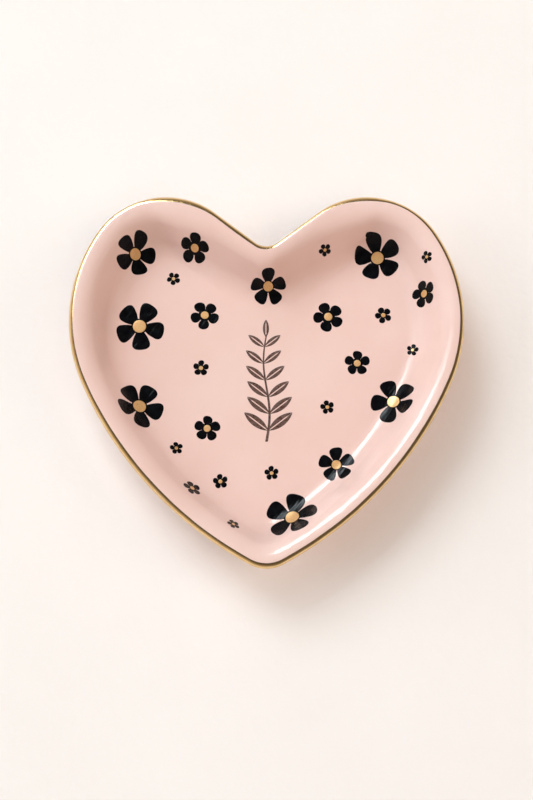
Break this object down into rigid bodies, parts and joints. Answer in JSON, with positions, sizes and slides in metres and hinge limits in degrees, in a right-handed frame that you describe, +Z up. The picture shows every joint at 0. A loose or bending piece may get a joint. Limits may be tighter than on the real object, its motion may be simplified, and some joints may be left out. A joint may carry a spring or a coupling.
{
  "type": "heart-shaped trinket dish",
  "caption": "Open heart-shaped glazed dish with a rolled gold-lined lip, flower prints, a leafy sprig and a bare foot ring, for rings and small trinkets.",
  "frame": {"origin": "centre of the dish's outline in plan, at table height under the foot ring", "axes": "+Z up out of the bowl; +X to the right across the two lobes; +Y towards the notch between the lobes, so the tip points to -Y"},
  "size_m": [0.1164, 0.1126, 0.0181],
  "materials": {
    "pink_glaze": "gloss",
    "bare_clay": "matte",
    "gold_lustre": "polished",
    "gold_print": "satin",
    "black_print": "gloss",
    "brown_print": "gloss"
  },
  "bodies": {
    "root": {"dish_body": "pink_glaze", "foot_ring": "bare_clay", "rim_band": "gold_lustre", "sprig": "brown_print", "flower_01_petals": "black_print", "flower_02_petals": "black_print", "flower_03_petals": "black_print", "flower_04_petals": "black_print", "flower_05_petals": "black_print", "flower_06_petals": "black_print", "flower_07_petals": "black_print", "flower_08_petals": "black_print", "flower_09_petals": "black_print", "flower_10_petals": "black_print", "flower_11_petals": "black_print", "flower_12_petals": "black_print", "flower_13_petals": "black_print", "flower_14_petals": "black_print", "flower_15_petals": "black_print", "flower_16_petals": "black_print", "flower_17_petals": "black_print", "flower_18_petals": "black_print", "flower_19_petals": "black_print", "flower_20_petals": "black_print", "flower_21_petals": "black_print", "flower_22_petals": "black_print", "flower_23_petals": "black_print", "flower_24_petals": "black_print", "flower_25_petals": "black_print", "flower_26_petals": "black_print", "flower_01_centre": "gold_print", "flower_02_centre": "gold_print", "flower_03_centre": "gold_print", "flower_04_centre": "gold_print", "flower_05_centre": "gold_print", "flower_06_centre": "gold_print", "flower_07_centre": "gold_print", "flower_08_centre": "gold_print", "flower_09_centre": "gold_print", "flower_10_centre": "gold_print", "flower_11_centre": "gold_print", "flower_12_centre": "gold_print", "flower_13_centre": "gold_print", "flower_14_centre": "gold_print", "flower_15_centre": "gold_print", "flower_16_centre": "gold_print", "flower_17_centre": "gold_print", "flower_18_centre": "gold_print", "flower_19_centre": "gold_print", "flower_20_centre": "gold_print", "flower_21_centre": "gold_print", "flower_22_centre": "gold_print", "flower_23_centre": "gold_print", "flower_24_centre": "gold_print", "flower_25_centre": "gold_print", "flower_26_centre": "gold_print"}
  },
  "joints": []
}
